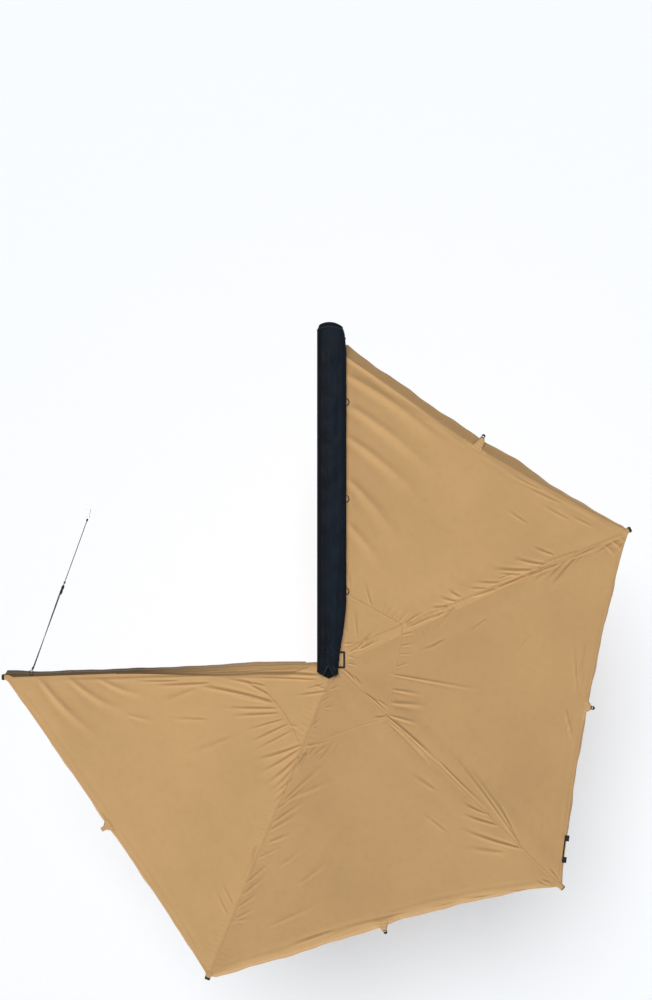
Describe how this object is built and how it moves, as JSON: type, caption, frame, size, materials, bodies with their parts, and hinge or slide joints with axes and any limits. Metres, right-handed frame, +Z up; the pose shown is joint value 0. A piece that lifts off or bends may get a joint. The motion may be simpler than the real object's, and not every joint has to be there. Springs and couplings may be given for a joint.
{
  "type": "vehicle side awning",
  "caption": "Free-standing wraparound side awning: arms on a rear hub, fan-shaped canopy with drop valance, folding telescopic legs, folded-back travel bag and a guy line.",
  "frame": {"origin": "middle of the middle rack bracket's foot, on its underside", "axes": "+Y towards the vehicle's front, +X away from the vehicle on the awning's side, +Z up"},
  "size_m": [3.8497, 4.014, 0.1569],
  "materials": {
    "anodised_aluminium": "satin anodised",
    "cast_aluminium": "dark powder-coated casting",
    "zinc_steel": "zinc plated",
    "black_plastic": "moulded, fine texture",
    "rubber": "matt",
    "canopy_canvas": "coated woven canvas",
    "bag_vinyl": "coated heavy vinyl, satin",
    "black_webbing": "woven webbing",
    "rope": "braided"
  },
  "bodies": {
    "root": {"backing_extrusion": "anodised_aluminium", "extrusion_end_cap": "black_plastic", "rack_bracket_rear": "zinc_steel", "rack_bracket_middle": "zinc_steel", "rack_bracket_front": "zinc_steel", "hub_base_bracket": "cast_aluminium", "hinge_pin_1": "zinc_steel", "canopy_keder_tape": "black_webbing", "bag_keder_tape": "black_webbing", "storage_bag": "bag_vinyl", "bag_ring_1": "black_plastic", "bag_ring_2": "black_plastic", "bag_ring_3": "black_plastic", "strap_loop": "black_plastic", "canopy_panel_1": "canopy_canvas", "edge_clip_1": "black_plastic"},
    "swing_arm_1": {"knuckle_1": "cast_aluminium", "arm_1": "anodised_aluminium", "arm_tip_cap_1": "black_plastic", "hinge_pin_2": "zinc_steel", "canopy_panel_2": "canopy_canvas", "edge_clip_2": "black_plastic", "edge_buckle": "black_plastic"},
    "swing_arm_2": {"knuckle_2": "cast_aluminium", "arm_2": "anodised_aluminium", "arm_tip_cap_2": "black_plastic", "hinge_pin_3": "zinc_steel", "canopy_panel_3": "canopy_canvas", "edge_clip_3": "black_plastic"},
    "swing_arm_3": {"knuckle_3": "cast_aluminium", "arm_3": "anodised_aluminium", "arm_tip_cap_3": "black_plastic", "hinge_pin_4": "zinc_steel", "canopy_panel_4": "canopy_canvas", "edge_clip_4": "black_plastic"},
    "swing_arm_4": {"knuckle_4": "cast_aluminium", "arm_4": "anodised_aluminium", "arm_tip_cap_4": "black_plastic", "end_valance": "canopy_canvas", "guy_ring": "zinc_steel", "guy_rope": "rope", "guy_tensioner": "black_plastic", "guy_hook": "zinc_steel"},
    "leg_1": {"leg_outer_1": "anodised_aluminium", "leg_collar_1": "black_plastic"},
    "leg_extension_1": {"leg_inner_1": "anodised_aluminium", "leg_foot_1": "rubber"},
    "leg_2": {"leg_outer_2": "anodised_aluminium", "leg_collar_2": "black_plastic"},
    "leg_extension_2": {"leg_inner_2": "anodised_aluminium", "leg_foot_2": "rubber"},
    "leg_3": {"leg_outer_3": "anodised_aluminium", "leg_collar_3": "black_plastic"},
    "leg_extension_3": {"leg_inner_3": "anodised_aluminium", "leg_foot_3": "rubber"},
    "leg_4": {"leg_outer_4": "anodised_aluminium", "leg_collar_4": "black_plastic"},
    "leg_extension_4": {"leg_inner_4": "anodised_aluminium", "leg_foot_4": "rubber"}
  },
  "joints": [
    {"name": "arm_fold_1", "type": "hinge", "parent": "root", "child": "swing_arm_1", "pos_m": [0.0723, -1.024, 0.0856], "axis": [0, 0, 1], "range_deg": [0, 65.2], "deforming": ["canopy_panel_1", "edge_clip_1"]},
    {"name": "arm_fold_2", "type": "hinge", "parent": "swing_arm_1", "child": "swing_arm_2", "pos_m": [0.0874, -1.05668, 0.0856], "axis": [0, 0, 1], "range_deg": [0, 69.1], "deforming": ["canopy_panel_2", "edge_clip_2", "edge_buckle"]},
    {"name": "arm_fold_3", "type": "hinge", "parent": "swing_arm_2", "child": "swing_arm_3", "pos_m": [0.06226, -1.08245, 0.0856], "axis": [0, 0, 1], "range_deg": [0, 67.9], "deforming": ["canopy_panel_3", "edge_clip_3"]},
    {"name": "arm_fold_4", "type": "hinge", "parent": "swing_arm_3", "child": "swing_arm_4", "pos_m": [0.02893, -1.06884, 0.0856], "axis": [0, 0, 1], "range_deg": [0, 65.8], "deforming": ["canopy_panel_4", "edge_clip_4"]},
    {"name": "leg_swing_1", "type": "hinge", "parent": "swing_arm_1", "child": "leg_1", "pos_m": [1.82823, -0.23248, 0.0701], "axis": [0.4195, -0.9078, 0], "range_deg": [0, 90]},
    {"name": "leg_extend_1", "type": "slide", "parent": "leg_1", "child": "leg_extension_1", "axis": [-0.9078, -0.4195, 0], "range_m": [0, 0.66]},
    {"name": "leg_swing_2", "type": "hinge", "parent": "swing_arm_2", "child": "leg_2", "pos_m": [1.42176, -2.38398, 0.0701], "axis": [-0.6984, -0.7157, 0], "range_deg": [0, 90]},
    {"name": "leg_extend_2", "type": "slide", "parent": "leg_2", "child": "leg_extension_2", "axis": [-0.7157, 0.6984, 0], "range_m": [0, 0.66]},
    {"name": "leg_swing_3", "type": "hinge", "parent": "swing_arm_3", "child": "leg_3", "pos_m": [-0.71085, -2.92924, 0.0701], "axis": [-0.9259, 0.3778, 0], "range_deg": [0, 90]},
    {"name": "leg_extend_3", "type": "slide", "parent": "leg_3", "child": "leg_extension_3", "axis": [0.3778, 0.9259, 0], "range_m": [0, 0.66]},
    {"name": "leg_swing_4", "type": "hinge", "parent": "swing_arm_4", "child": "leg_4", "pos_m": [-1.9395, -1.11957, 0.0701], "axis": [-0.0349, 0.9994, 0], "range_deg": [0, 90]},
    {"name": "leg_extend_4", "type": "slide", "parent": "leg_4", "child": "leg_extension_4", "axis": [0.9994, 0.0349, 0], "range_m": [0, 0.66]}
  ]
}
